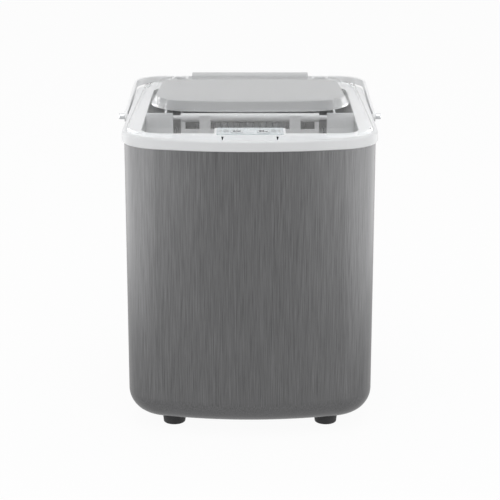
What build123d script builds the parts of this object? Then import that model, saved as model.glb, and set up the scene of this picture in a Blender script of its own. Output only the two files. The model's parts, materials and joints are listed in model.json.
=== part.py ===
"""Countertop ice maker: bowed housing, clear hinged lid, carry handle and the ice works inside.

Millimetres, +Z up, the front faces -Y. The origin is on the floor, under the middle of the whole object.
Places along the depth are measured back from the front of the rim.
"""

import math
import os

from build123d import *

# Overall housing
rim_width = 224.0
rim_depth = 280.0
rim_overhang = 2.0
front_bow = 312.0
front_corner = 40.0
rear_corner = 28.0
foot_height = 11.0
body_height = 250.0
bottom_round = 22.0
shell_wall = 2.0
corner_margin = 1.0

# Rim, deck and mouth of the ice chamber
rim_height = 9.5
rim_round = 2.0
deck_thickness = 3.0
lip_depth = 6.0
lip_wall = 1.6
fit_gap = 0.3
deck_side = 17.0
deck_front = 33.0
deck_rear = 22.0
mouth_corner = 18.0

# Lid
lid_gap = 0.5
lid_inset = 0.8
lid_side = 4.0
lid_taper = 4.0
lid_edge = 5.0
lid_wall = 2.0
lid_rear_gap = 13.0
lid_rear_corner = 20.0
lid_round = 1.8
dome_side = 16.0
dome_taper = 5.5
dome_front = 114.0
dome_rear_gap = 18.0
dome_bow = 480.0
dome_corner = 44.0
dome_rise = 9.2
dome_rear_rise = 5.6
dome_draft = 26.0
dome_round = 2.0
finger_scoop_width = 45.0
finger_scoop_height = 1.6
finger_scoop_depth = 1.2

# Lid hinge
hinge_inset = 8.5
hinge_spacing = 140.0
hinge_lug_width = 10.0
hinge_lug_radius = 3.3
hinge_pin_radius = 1.6
hinge_ear = 3.0
hinge_side_gap = 0.4
hinge_depth = 11.0
running_gap = 0.05

# Carry handle
handle_reach = 19.0
handle_pivot_back = 133.0
handle_pivot_up = 5.0
handle_side_gap = 1.0
handle_thickness = 2.6
handle_height = 7.0
handle_bend = 26.0
handle_tilt = 2.5
eye_radius = 5.0
pivot_radius = 2.0
pivot_head_radius = 2.8
pivot_head = 5.1
pivot_seat = 4.0
grip_length = 117.0
grip_depth = 12.0
grip_height = 13.0
grip_round = 4.0

# Feet and floor
foot_radius = 11.0
foot_taper = 1.2
foot_side = 43.0
front_foot_back = 45.0
rear_foot_inset = 60.0
foot_screw_radius = 2.0
screw_head_radius = 4.0
screw_head = 2.5
foot_counterbore = 5.0
screw_gap = 0.2
base_thickness = 1.5
intake_slot_length = 56.0
intake_slot_width = 4.0
intake_slot_pitch = 9.0
intake_slots = 7
intake_back = 150.0

# Rear panel
panel_margin = 9.0
panel_height = 166.0
panel_lift = 11.0
panel_corner = 10.0
panel_flange = 7.0
panel_flange_thickness = 1.6
louvre_length = 62.0
louvre_width = 3.6
louvre_pitch = 8.0
louvre_rows = 14
louvre_spacing = 70.0
louvre_up = 108.0
panel_screw_radius = 1.5
panel_screw_head_radius = 3.2
panel_screw_head = 1.8
panel_screw_rows = 150.0
gland_bore_radius = 4.0
gland_radius = 6.5
gland_flange_radius = 9.0
gland_flange = 2.0
gland_across = -58.0
gland_up = 20.0

# Control strip on a tongue of the deck, buttons, switches and board
panel_strip_width = 58.0
panel_strip_front = 26.0
panel_strip_depth = 28.0
panel_strip_thickness = 0.8
tongue_margin = 2.0
button_radius = 5.5
button_spacing = 23.0
button_back = 35.0
button_gap = 0.3
lens_radius = 1.4
lens_spacing = 51.0
lens_row = 7.0
lens_back = 36.0
button_proud = 0.8
button_travel = 1.0
collar_radius = 7.0
collar_height = 1.2
stem_radius = 1.6
stem_length = 2.6
switch_size = 6.0
switch_height = 3.0
board_thickness = 1.6
standoff_radius = 2.0
standoff_inset = 3.2
board_gap = 1.0

# Chamber, insulation and chassis
liner_wall = 2.0
liner_floor_up = 121.0
liner_bottom_round = 8.0
insulation_gap = 0.3
insulation_up = 8.0
pod_depth = 12.0
pod_wall = 1.6
pod_margin = 1.5
partition_gap = 1.0
partition_thickness = 1.5
partition_side_gap = 1.0
post_radius = 4.0
post_across = 168.0
post_front = 62.0
post_rear_gap = 23.0

# Ice basket
basket_side_gap = 9.0
basket_front_gap = 5.0
basket_length = 66.0
basket_lift = 16.0
basket_drop = 31.5
basket_wall = 2.0
basket_corner = 10.0
basket_slot_width = 5.0
basket_slot_pitch = 12.0
basket_rail = 9.0
basket_leg = 8.0

# Ice sensors on the side walls of the chamber
sensor_width = 12.0
sensor_height = 9.0
sensor_depth = 4.0
sensor_setback = 42.0
sensor_drop = 22.0

# Evaporator, its frame and cover
evaporator_radius = 4.5
evaporator_half = 62.0
evaporator_setback = 45.0
evaporator_bend = 12.0
evaporator_tail_gap = 8.0
finger_radius = 4.0
finger_length = 38.0
fingers = 9
finger_pitch = 12.0
works_half = 76.0
works_plate = 2.0
works_front_gap = 7.0
works_rear_gap = 12.0
works_top_gap = 2.5
works_bottom_gap = 12.0
works_tab = 10.0
works_tab_thickness = 2.0
works_tab_drop = 8.0
cheek_overlap = 6.0
cheek_thickness = 1.6
cheek_side_gap = 0.5
cheek_drop = 34.0
cover_wall = 2.0
cover_clearance = 1.0
cover_round = 1.2

# Water tray with its motor, and the ice shovel
tray_drop = 27.5
tray_radius = 36.0
tray_wall = 2.0
tray_side_gap = 6.0
tray_arc = 55.0
tray_hub = 7.0
tray_shaft_radius = 3.0
tray_shaft_reach = 3.0
motor_radius = 18.0
motor_gap = 4.0
shovel_setback = 4.0
shovel_sink = 2.2
shovel_half = 63.0
shovel_hub_radius = 4.0
shovel_shaft_radius = 2.0
shovel_reach = 29.5
shovel_thickness = 3.0
shovel_post_across = 41.0
shovel_post_width = 10.0
shovel_post_thickness = 9.2
shovel_post_rise = 2.5
shovel_end_thickness = 4.0
shovel_rail = 4.0
shovel_rail_drop = 13.0
shovel_blade = 8.0

# Compressor on rubber mounts
compressor_across = -42.0
compressor_inset = 75.0
compressor_radius = 45.0
compressor_height = 74.0
compressor_round = 18.0
compressor_foot = 2.5
compressor_foot_half = 36.0
grommet_radius = 7.0
grommet_height = 9.0
compressor_bolt_radius = 2.5
compressor_bolt_head = 3.0
compressor_bolt_head_radius = 5.0
stub_radius = 3.5
stub_length = 7.0
stub_spacing = 28.0

# Condenser and its fan
condenser_across = 50.0
condenser_half = 41.0
condenser_inset = 11.0
condenser_lift = 16.0
condenser_depth = 24.0
condenser_top_gap = 12.0
coil_radius = 3.0
coil_runs = 7
coil_edge = 11.0
coil_inlet = 10.0
coil_outlet = 1.0
fin_thickness = 0.6
fin_pitch = 3.2
fin_margin = 8.0
bracket_plate = 1.2
shroud_depth = 14.0
shroud_wall = 2.0
duct_radius = 37.0
fan_radius = 35.0
fan_hub_radius = 12.0
fan_hub_length = 10.0
fan_blades = 5
fan_blade_chord = 20.0
fan_blade_pitch = 28.0
fan_blade_thickness = 1.6
fan_shaft_radius = 2.0
fan_motor_radius = 17.0
fan_motor_length = 22.0
strut_width = 7.0

# Filter drier, refrigerant lines and hose
line_radius = 3.0
hose_radius = 4.0
line_drop = 10.0
hose_across = 30.0
drier_radius = 7.0
drier_front = 150.0
drier_length = 50.0
line_bend = 9.0
run_share = 0.45
line_riser_inset = 7.0
line_shelf_gap = 6.0
drier_lead = 14.0

# Water pump and hose
pump_neck_length = 8.0
pump_radius = 18.0
pump_height = 16.0
pump_wall = 2.0
impeller_radius = 13.0
impeller_height = 6.0
impeller_vanes = 6
impeller_vane = 1.6
impeller_hub = 4.0
impeller_shaft_radius = 1.5
pump_motor_radius = 14.0
pump_motor_length = 26.0
outlet_radius = 4.0
outlet_bore = 2.5
outlet_length = 8.0
hose_reach = 22.0
hose_lead = 16.0

# Drain cap under the floor
cap_wall = 2.5
cap_height = 7.0
cap_ribs = 12
cap_rib_radius = 1.0

# Main circuit board
main_board_across = -52.0
main_board_back = 52.0
main_board_width = 60.0
main_board_height = 70.0
main_board_lift = 22.0
relay_width = 18.0
relay_height = 14.0
relay_depth = 15.0
capacitor_radius = 6.0
capacitor_depth = 18.0
board_foot = 12.0

# Drain and pump places
drain_across = 0.0
drain_back = 70.0
drain_outer_radius = 7.0
drain_bore_radius = 4.5
pump_across = 30.0
pump_back = 92.0
pump_neck_radius = 5.0
pass_gap = 1.0

# Levels and places that follow from the sizes above
front = -(rim_depth + handle_reach) / 2
rear = front + rim_depth
mouth_width = rim_width - 2 * deck_side
mouth_rear = rim_depth - deck_rear
panel_width = rim_width - 2 * (rear_corner + panel_margin)
body_rear = rear - rim_overhang
floor_z = foot_height
rim_z = foot_height + body_height
deck_z = rim_z + rim_height
deck_under = deck_z - deck_thickness
lid_under = deck_z + lid_gap
lid_z = lid_under + lid_edge
chassis_z = floor_z + shell_wall + base_thickness
liner_floor = floor_z + liner_floor_up
partition_z = liner_floor - liner_wall - partition_gap
hinge_y = rear - hinge_inset
hinge_z = lid_under + hinge_lug_radius + fit_gap
handle_y = front + handle_pivot_back
handle_z = rim_z + handle_pivot_up
inner_inset = rim_overhang + shell_wall
basket_front = deck_front + basket_front_gap
basket_rear = basket_front + basket_length
sensor_back = basket_front + sensor_setback
works_front = basket_rear + works_front_gap
works_rear = mouth_rear - works_rear_gap
shovel_back = works_front + shovel_setback
evaporator_back = shovel_back + evaporator_setback
evaporator_tail = mouth_rear - evaporator_tail_gap
tray_half = works_half - tray_side_gap
motor_length = mouth_width / 2 - works_half - works_plate - motor_gap
hose_end = evaporator_back + hose_reach
compressor_front = rim_depth - compressor_inset - compressor_foot_half - grommet_radius
post_rear = compressor_front - post_rear_gap - post_radius
bottom_fillet = min(bottom_round, rear_corner - inner_inset - corner_margin)

os.makedirs("parts", exist_ok=True)


def plan(inset, level):
    """Outline of the rim seen from above, drawn in by inset, at a level."""
    half = rim_width / 2 - inset
    apex = front + inset
    bow = front_bow - inset
    side = apex + bow - math.sqrt(bow**2 - half**2)
    back_edge = rear - inset
    with BuildSketch(Plane.XY.offset(level)) as outline:
        with BuildLine():
            ThreePointArc((-half, side), (0, apex), (half, side))
            Polyline((half, side), (half, back_edge), (-half, back_edge), (-half, side))
        make_face()
        fillet(outline.vertices().group_by(Axis.Y)[0], front_corner - inset)
        fillet(outline.vertices().group_by(Axis.Y)[-1], max(rear_corner - inset, corner_margin))
    return outline.sketch


def tub(inset, bottom, top, edge_round):
    """Block of the plan outline with its lower edge rounded."""
    with BuildPart() as block:
        extrude(plan(inset, bottom), amount=top - bottom)
        fillet(block.faces().sort_by(Axis.Z)[0].edges(), edge_round)
    return block.part


def mouth(level, grow):
    """Mouth of the chamber seen from above, made larger by grow, at a level."""
    middle = front + (deck_front + mouth_rear) / 2
    with BuildSketch(Plane.XY.offset(level)) as opening:
        with Locations((0, middle)):
            RectangleRounded(
                mouth_width + 2 * grow,
                mouth_rear - deck_front + 2 * grow,
                mouth_corner + grow,
            )
    return opening.sketch


def save(piece, name):
    """Label a finished piece and write it."""
    piece.part.label = name
    export_step(piece.part, f"parts/{name}.step")


def foot_places():
    """Centres of the four feet by name."""
    half = rim_width / 2 - foot_side
    return {
        "foot_front_left": (-half, front + front_foot_back),
        "foot_front_right": (half, front + front_foot_back),
        "foot_rear_left": (-half, rear - rear_foot_inset),
        "foot_rear_right": (half, rear - rear_foot_inset),
    }


def intake_places():
    """Centres of the intake slots in the floor."""
    middle = front + intake_back
    first = middle - intake_slot_pitch * (intake_slots - 1) / 2
    return [(louvre_spacing / 2, first + row * intake_slot_pitch) for row in range(intake_slots)]


# Drain and pump places shared by the liner, the plates and the floor
drain_place = (drain_across, front + drain_back)
pump_place = (pump_across, front + pump_back)

# Housing shell, one piece round the front, sides and rear, with a rounded lower edge
housing_block = tub(rim_overhang, floor_z, rim_z, bottom_fillet)
housing_core = tub(inner_inset, floor_z + shell_wall, rim_z + shell_wall, bottom_fillet - shell_wall)
panel_z = floor_z + bottom_round + panel_lift + panel_height / 2
panel_screw_places = [
    (side * (panel_width / 2 + panel_flange / 2), panel_z + row * panel_screw_rows / 2)
    for side in (-1, 1)
    for row in (-1, 0, 1)
]

with BuildPart() as body_shell:
    add(housing_block)
    add(housing_core, mode=Mode.SUBTRACT)
    with BuildSketch(Plane.XZ.offset(-body_rear)):
        with Locations((0, panel_z)):
            RectangleRounded(panel_width, panel_height, panel_corner)
        with Locations(*panel_screw_places):
            Circle(panel_screw_radius + screw_gap)
    extrude(amount=shell_wall, mode=Mode.SUBTRACT)
    with BuildSketch(Plane.XY.offset(floor_z)):
        with Locations(*intake_places()):
            SlotOverall(intake_slot_length, intake_slot_width)
        with Locations(*foot_places().values()):
            Circle(foot_screw_radius + screw_gap)
        with Locations(drain_place):
            Circle(drain_outer_radius + fit_gap)
    extrude(amount=shell_wall, mode=Mode.SUBTRACT)
save(body_shell, "body_shell")

# Steel base plate lying on the floor of the shell
with BuildPart() as base_plate:
    extrude(plan(inner_inset + bottom_fillet, floor_z + shell_wall), amount=base_thickness)
    with BuildSketch(Plane.XY.offset(floor_z + shell_wall)):
        with Locations(*intake_places()):
            SlotOverall(intake_slot_length, intake_slot_width)
        with Locations(*foot_places().values()):
            Circle(foot_screw_radius + running_gap)
        with Locations(drain_place):
            Circle(drain_outer_radius + fit_gap)
    extrude(amount=base_thickness, mode=Mode.SUBTRACT)
save(base_plate, "base_plate")

# Rubber feet, slightly tapered, each with a counterbored screw hole
for foot_name, foot_place in foot_places().items():
    with BuildPart() as foot:
        with BuildSketch(Plane.XY.offset(foot_height)):
            with Locations(foot_place):
                Circle(foot_radius)
        extrude(amount=-foot_height, taper=math.degrees(math.atan(foot_taper / foot_height)))
        fillet(foot.faces().sort_by(Axis.Z)[0].edges(), foot_taper)
        with BuildSketch(Plane.XY):
            with Locations(foot_place):
                Circle(screw_head_radius + screw_gap)
        extrude(amount=foot_counterbore, mode=Mode.SUBTRACT)
        with BuildSketch(Plane.XY):
            with Locations(foot_place):
                Circle(foot_screw_radius + screw_gap)
        extrude(amount=foot_height, mode=Mode.SUBTRACT)
    save(foot, foot_name)

# Foot screws, heads up in the counterbores, shanks through the floor and the base plate
with BuildPart() as foot_screws:
    with BuildSketch(Plane.XY.offset(foot_counterbore - screw_head)):
        with Locations(*foot_places().values()):
            Circle(screw_head_radius)
    extrude(amount=screw_head)
    with BuildSketch(Plane.XY.offset(foot_counterbore)):
        with Locations(*foot_places().values()):
            Circle(foot_screw_radius)
    extrude(amount=chassis_z + foot_screw_radius - foot_counterbore)
save(foot_screws, "foot_screws")

# Rear panel: a plate flush in the window of the shell, on a flange behind its edge
panel_inner = body_rear - shell_wall
gland_place = (gland_across, panel_z - panel_height / 2 + gland_up)
with BuildPart() as rear_panel:
    with BuildSketch(Plane.XZ.offset(-body_rear)):
        with Locations((0, panel_z)):
            RectangleRounded(
                panel_width - 2 * fit_gap, panel_height - 2 * fit_gap, panel_corner - fit_gap
            )
    extrude(amount=shell_wall)
    with BuildSketch(Plane.XZ.offset(-panel_inner)):
        with Locations((0, panel_z)):
            RectangleRounded(
                panel_width + 2 * panel_flange,
                panel_height + 2 * panel_flange,
                panel_corner + panel_flange,
            )
    extrude(amount=panel_flange_thickness)
    with BuildSketch(Plane.XZ.offset(-body_rear)):
        with Locations((0, floor_z + louvre_up)):
            with GridLocations(louvre_spacing, louvre_pitch, 2, louvre_rows):
                SlotOverall(louvre_length, louvre_width)
        with Locations(gland_place):
            Circle(gland_radius + running_gap)
    extrude(amount=shell_wall + panel_flange_thickness, mode=Mode.SUBTRACT)
    with BuildSketch(Plane.XZ.offset(-panel_inner)):
        with Locations(*panel_screw_places):
            Circle(panel_screw_radius + running_gap)
    extrude(amount=panel_flange_thickness, mode=Mode.SUBTRACT)
save(rear_panel, "rear_panel")

# Panel screws, driven from behind through the shell into the flange
with BuildPart() as panel_screws:
    with BuildSketch(Plane.XZ.offset(-body_rear)):
        with Locations(*panel_screw_places):
            Circle(panel_screw_radius)
    extrude(amount=shell_wall + panel_flange_thickness)
    with BuildSketch(Plane.XZ.offset(-body_rear)):
        with Locations(*panel_screw_places):
            Circle(panel_screw_head_radius)
    extrude(amount=-panel_screw_head)
    fillet(panel_screws.faces().sort_by(Axis.Y)[-6:].edges(), panel_screw_head / 2)
save(panel_screws, "panel_screws")

# Grommet of the power lead in the rear panel
with BuildPart() as cord_gland:
    with BuildSketch(Plane.XZ.offset(-body_rear)):
        with Locations(gland_place):
            Circle(gland_radius)
    extrude(amount=shell_wall + panel_flange_thickness)
    with BuildSketch(Plane.XZ.offset(-body_rear)):
        with Locations(gland_place):
            Circle(gland_flange_radius)
    extrude(amount=-gland_flange)
    fillet(cord_gland.faces().sort_by(Axis.Y)[-1].edges(), gland_flange / 2)
    with BuildSketch(Plane.XZ.offset(-body_rear - gland_flange)):
        with Locations(gland_place):
            Circle(gland_bore_radius)
    extrude(amount=gland_flange + shell_wall + panel_flange_thickness, mode=Mode.SUBTRACT)
save(cord_gland, "cord_gland")

# Control panel places shared by the deck, the overlay, the buttons and the board
strip_top = deck_z + panel_strip_thickness
strip_middle = front + panel_strip_front + panel_strip_depth / 2
button_places = {
    "power_button": (-button_spacing / 2, front + button_back),
    "select_button": (button_spacing / 2, front + button_back),
}
lens_places = [
    (side * lens_spacing / 2, front + lens_back + row * lens_row)
    for side in (-1, 1)
    for row in (0, 1)
]

# White rim with the deck round the mouth and a tongue in front for the controls
tongue_back = panel_strip_front + panel_strip_depth + tongue_margin
skirt_core = plan(inner_inset, rim_z)
lip_outer = plan(inner_inset + fit_gap, rim_z - lip_depth)
lip_inner = plan(inner_inset + fit_gap + lip_wall, rim_z - lip_depth)

with BuildPart() as top_frame:
    extrude(plan(0, rim_z), amount=rim_height)
    fillet(top_frame.faces().sort_by(Axis.Z)[-1].edges(), rim_round)
    fillet(top_frame.faces().sort_by(Axis.Z)[0].edges(), rim_round / 2)
    extrude(skirt_core, amount=rim_height - deck_thickness, mode=Mode.SUBTRACT)
    extrude(lip_outer, amount=lip_depth + rim_height - deck_thickness)
    extrude(lip_inner, amount=lip_depth + rim_height - deck_thickness, mode=Mode.SUBTRACT)
    with BuildSketch(Plane.XY.offset(deck_under)):
        add(mouth(0, 0))
        with Locations((0, front + tongue_back / 2)):
            Rectangle(panel_strip_width + 2 * tongue_margin, tongue_back, mode=Mode.SUBTRACT)
    extrude(amount=deck_thickness, mode=Mode.SUBTRACT)
    with BuildSketch(Plane.XY.offset(deck_under)):
        with Locations(*button_places.values()):
            Circle(button_radius + button_gap)
        with Locations(*lens_places):
            Circle(lens_radius + running_gap)
    extrude(amount=deck_thickness, mode=Mode.SUBTRACT)
    for side in (Plane.YZ.offset(rim_width / 2 - pivot_seat), Plane.YZ.offset(-rim_width / 2)):
        with BuildSketch(side):
            with Locations((handle_y, handle_z)):
                Circle(pivot_radius + running_gap)
        extrude(amount=pivot_seat, mode=Mode.SUBTRACT)
save(top_frame, "top_frame")


def well(grow, bottom, edge_round):
    """Block that fills the chamber up to the deck, made larger by grow, with its lower edge rounded."""
    with BuildPart() as block:
        extrude(mouth(bottom, grow), amount=deck_under - bottom)
        fillet(block.faces().sort_by(Axis.Z)[0].edges(), edge_round)
    return block.part


# Refrigerant and water lines that pass the rear wall of the chamber
line_z = deck_z - line_drop
rear_lines = {
    (-evaporator_half, line_z): line_radius,
    (evaporator_half, line_z): line_radius,
    (hose_across, line_z): hose_radius,
}
liner_rear = front + mouth_rear + liner_wall
pod_width = panel_strip_width + 2 * pod_margin
pod_front = front + panel_strip_front
pod_rear = front + tongue_back - pod_margin
pod_z = deck_under - pod_depth

# Plastic liner of the ice chamber, with the water reservoir as its floor
with BuildPart() as chamber_liner:
    add(well(liner_wall, liner_floor - liner_wall, liner_bottom_round + liner_wall))
    add(well(0, liner_floor, liner_bottom_round), mode=Mode.SUBTRACT)
    with BuildSketch(Plane.XY.offset(liner_floor - liner_wall)):
        with Locations(drain_place):
            Circle(drain_bore_radius)
        with Locations(pump_place):
            Circle(pump_neck_radius - liner_wall)
    extrude(amount=liner_wall, mode=Mode.SUBTRACT)
    with BuildSketch(Plane.XZ.offset(-liner_rear)):
        for line_place, radius in rear_lines.items():
            with Locations(line_place):
                Circle(radius + fit_gap)
    extrude(amount=liner_wall, mode=Mode.SUBTRACT)
    with BuildSketch(Plane.XZ.offset(-front - deck_front)):
        with Locations((0, deck_under - pod_depth / 2)):
            Rectangle(pod_width + 2 * fit_gap, pod_depth + 2 * fit_gap)
    extrude(amount=liner_wall, mode=Mode.SUBTRACT)
save(chamber_liner, "chamber_liner")

# Foam round the front and the sides of the liner
rear_clear_width = panel_width + 2 * panel_flange + 2 * pass_gap
insulation_bottom = liner_floor + insulation_up
insulation_top = min(rim_z - lip_depth, pod_z) - insulation_gap
with BuildPart() as insulation:
    extrude(plan(inner_inset + insulation_gap, insulation_bottom), amount=insulation_top - insulation_bottom)
    extrude(
        mouth(insulation_bottom, liner_wall + insulation_gap),
        amount=insulation_top - insulation_bottom,
        mode=Mode.SUBTRACT,
    )
    with BuildSketch(Plane.XY.offset(insulation_bottom)):
        with Locations((0, rear)):
            Rectangle(rear_clear_width, 2 * (rear - liner_rear + mouth_corner))
    extrude(amount=insulation_top - insulation_bottom, mode=Mode.SUBTRACT)
save(insulation, "insulation")

# Steel shelf between the machine space and the chamber, open at the rear for the lines
shelf_bottom = partition_z - partition_thickness
with BuildPart() as partition_plate:
    extrude(plan(inner_inset + partition_side_gap, shelf_bottom), amount=partition_thickness)
    with BuildSketch(Plane.XY.offset(shelf_bottom)):
        with Locations((0, rear)):
            Rectangle(rear_clear_width, 2 * (rear - liner_rear + liner_wall))
        with Locations(drain_place):
            Circle(drain_outer_radius + pass_gap)
        with Locations(pump_place):
            Circle(pump_neck_radius + pass_gap)
    extrude(amount=partition_thickness, mode=Mode.SUBTRACT)
    with BuildSketch(Plane.XY.offset(partition_z)):
        with Locations((0, front + post_front), (0, front + post_rear)):
            Rectangle(mouth_width - 2 * mouth_corner, 2 * post_radius)
        with Locations(drain_place):
            Circle(drain_outer_radius + pass_gap, mode=Mode.SUBTRACT)
    extrude(amount=partition_gap)
save(partition_plate, "partition_plate")

# Posts that carry the shelf on the base plate
with BuildPart() as frame_posts:
    with BuildSketch(Plane.XY.offset(chassis_z)):
        with Locations((0, front + (post_front + post_rear) / 2)):
            with GridLocations(post_across, post_rear - post_front, 2, 2):
                Circle(post_radius)
    extrude(amount=shelf_bottom - chassis_z)
save(frame_posts, "frame_posts")


def tapered_outline(half, taper, first, last, bow, front_round, rear_round, level):
    """Outline with a bowed front and sides that draw in to the rear, seen from above, at a level."""
    side = first + bow - math.sqrt(bow**2 - half**2)
    rear_half = half - taper
    with BuildSketch(Plane.XY.offset(level)) as outline:
        with BuildLine():
            ThreePointArc((-half, side), (0, first), (half, side))
            Polyline((half, side), (rear_half, last), (-rear_half, last), (-half, side))
        make_face()
        fillet(outline.vertices().group_by(Axis.Y)[0], front_round)
        fillet(outline.vertices().group_by(Axis.Y)[-1], rear_round)
    return outline.sketch


def lid_outline(inset):
    """Outline of the lid, drawn in by inset, at its underside."""
    edge = lid_inset + inset
    return tapered_outline(
        rim_width / 2 - lid_side - inset,
        lid_taper,
        front + edge,
        rear - lid_rear_gap - edge,
        front_bow - edge,
        front_corner - edge,
        lid_rear_corner - inset,
        lid_under,
    )


def dome_outline(inset, level):
    """Outline of the raised rear part of the lid, drawn in by inset, at a level."""
    return tapered_outline(
        rim_width / 2 - dome_side - inset,
        dome_taper,
        front + dome_front + inset,
        rear - dome_rear_gap - inset,
        dome_bow - inset,
        dome_corner - inset,
        lid_rear_corner - inset,
        level,
    )


def dome_block(inset, bottom, top_drop, edge_round):
    """Raised part with drafted sides and a top that slopes down to the rear, drawn in and lowered."""
    top = lid_z + dome_rise - top_drop
    rear_top = lid_z + dome_rear_rise - top_drop
    first = front + dome_front
    last = rear - dome_rear_gap
    with BuildPart() as block:
        extrude(dome_outline(inset, bottom), amount=top - bottom, taper=dome_draft)
        with BuildSketch(Plane.YZ):
            Polygon(
                (first, top), (last, rear_top), (last, top + dome_rise), (first, top + dome_rise), align=None
            )
        extrude(amount=rim_width, both=True, mode=Mode.SUBTRACT)
        if edge_round:
            fillet(block.faces().filter_by(GeomType.PLANE).sort_by(Axis.Z)[-1].edges(), edge_round)
    return block.part


# Clear lid: flat flange with a turned-down edge, raised rear part, two hinge lugs
slope_wall = lid_wall / math.cos(math.radians(dome_draft))
dome_inner_inset = slope_wall - lid_wall * math.tan(math.radians(dome_draft))
lug_places = [-hinge_spacing / 2, hinge_spacing / 2]
raised_part = dome_block(0, lid_z, 0, dome_round)
raised_cavity = dome_block(dome_inner_inset, lid_z - lid_wall, lid_wall, 0)

with BuildPart() as lid:
    extrude(lid_outline(0), amount=lid_edge)
    fillet(lid.faces().sort_by(Axis.Z)[-1].edges(), lid_round)
    extrude(lid_outline(lid_wall), amount=lid_edge - lid_wall, mode=Mode.SUBTRACT)
    add(raised_part)
    add(raised_cavity, mode=Mode.SUBTRACT)
    with BuildSketch(Plane.XY.offset(lid_under)):
        with Locations((0, front + lid_inset)):
            Rectangle(finger_scoop_width, 2 * finger_scoop_depth)
    extrude(amount=finger_scoop_height, mode=Mode.SUBTRACT)
    for lug_across in lug_places:
        with BuildSketch(Plane.YZ.offset(lug_across - hinge_lug_width / 2)):
            with Locations((hinge_y, hinge_z)):
                Circle(hinge_lug_radius)
            with BuildLine():
                Polyline(
                    (rear - lid_rear_gap - lid_inset - lid_wall, lid_z - lid_wall),
                    (hinge_y, lid_z - lid_wall),
                    (hinge_y, lid_z),
                    (rear - lid_rear_gap - lid_inset - lid_wall, lid_z),
                    close=True,
                )
            make_face()
            with Locations((hinge_y, hinge_z)):
                Circle(hinge_pin_radius + running_gap, mode=Mode.SUBTRACT)
        extrude(amount=hinge_lug_width)
save(lid, "lid")

# Hinge brackets on the deck and their pins
ear_gap = hinge_lug_width + 2 * hinge_side_gap
bracket_width = ear_gap + 2 * hinge_ear
bracket_front = hinge_y - hinge_lug_radius
bracket_height = hinge_z + hinge_lug_radius - deck_z
with BuildPart() as hinge_brackets:
    for lug_across in lug_places:
        with BuildSketch(Plane.XY.offset(deck_z)):
            with Locations((lug_across, bracket_front)):
                Rectangle(bracket_width, hinge_depth - hinge_side_gap, align=(Align.CENTER, Align.MIN))
            with Locations((lug_across, bracket_front)):
                Rectangle(
                    ear_gap,
                    2 * hinge_lug_radius + 2 * hinge_side_gap,
                    align=(Align.CENTER, Align.MIN),
                    mode=Mode.SUBTRACT,
                )
        extrude(amount=bracket_height)
        with BuildSketch(Plane.YZ.offset(lug_across - bracket_width / 2)):
            with Locations((hinge_y, hinge_z)):
                Circle(hinge_pin_radius + running_gap)
        extrude(amount=bracket_width, mode=Mode.SUBTRACT)
save(hinge_brackets, "hinge_brackets")

with BuildPart() as hinge_pins:
    for lug_across in lug_places:
        with BuildSketch(Plane.YZ.offset(lug_across - bracket_width / 2)):
            with Locations((hinge_y, hinge_z)):
                Circle(hinge_pin_radius)
        extrude(amount=bracket_width)
save(hinge_pins, "hinge_pins")

# Carry handle: a flat bail on two shoulder screws, folded back behind the lid
tilt = math.radians(handle_tilt)
grip_support = (
    (grip_depth / 2 - grip_round) * math.cos(tilt)
    + (grip_height / 2 - grip_round) * math.sin(tilt)
    + grip_round
)
bar_y = rear + handle_reach - grip_support
bar_z = handle_z + (bar_y - handle_y) * math.tan(tilt)
arm_x = rim_width / 2 + handle_side_gap + handle_thickness / 2
arm_direction = (0, math.cos(tilt), math.sin(tilt))

with BuildPart() as handle_bail:
    with BuildLine() as bail_path:
        FilletPolyline(
            (-arm_x, handle_y, handle_z),
            (-arm_x, bar_y, bar_z),
            (arm_x, bar_y, bar_z),
            (arm_x, handle_y, handle_z),
            radius=handle_bend,
        )
    with BuildSketch(Plane(origin=(-arm_x, handle_y, handle_z), x_dir=(1, 0, 0), z_dir=arm_direction)):
        RectangleRounded(handle_thickness, handle_height, handle_thickness / 3)
    sweep()
    for side in (-1, 1):
        with BuildSketch(Plane.YZ.offset(side * arm_x - handle_thickness / 2)):
            with Locations((handle_y, handle_z)):
                Circle(eye_radius)
        extrude(amount=handle_thickness)
    for side in (-1, 1):
        with BuildSketch(Plane.YZ.offset(side * arm_x - handle_thickness / 2)):
            with Locations((handle_y, handle_z)):
                Circle(pivot_radius + running_gap)
        extrude(amount=handle_thickness, mode=Mode.SUBTRACT)
save(handle_bail, "handle_bail")

with BuildPart() as handle_grip:
    with BuildSketch(Plane(origin=(0, bar_y, bar_z), x_dir=arm_direction, z_dir=(1, 0, 0))):
        RectangleRounded(grip_depth, grip_height, grip_round)
        RectangleRounded(
            handle_thickness + 2 * running_gap,
            handle_height + 2 * running_gap,
            handle_thickness / 3,
            mode=Mode.SUBTRACT,
        )
    extrude(amount=grip_length / 2, both=True)
save(handle_grip, "handle_grip")

head_x = arm_x + handle_thickness / 2 + fit_gap
with BuildPart() as handle_pivots:
    for side in (-1, 1):
        with BuildSketch(Plane.YZ.offset(side * (rim_width / 2 - pivot_seat))):
            with Locations((handle_y, handle_z)):
                Circle(pivot_radius)
        extrude(amount=side * (head_x - rim_width / 2 + pivot_seat))
        with BuildSketch(Plane.YZ.offset(side * head_x)):
            with Locations((handle_y, handle_z)):
                Circle(pivot_head_radius)
        extrude(amount=side * pivot_head)
    for end in (handle_pivots.faces().sort_by(Axis.X)[0], handle_pivots.faces().sort_by(Axis.X)[-1]):
        fillet(end.edges(), pivot_head_radius / 3)
save(handle_pivots, "handle_pivots")

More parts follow.
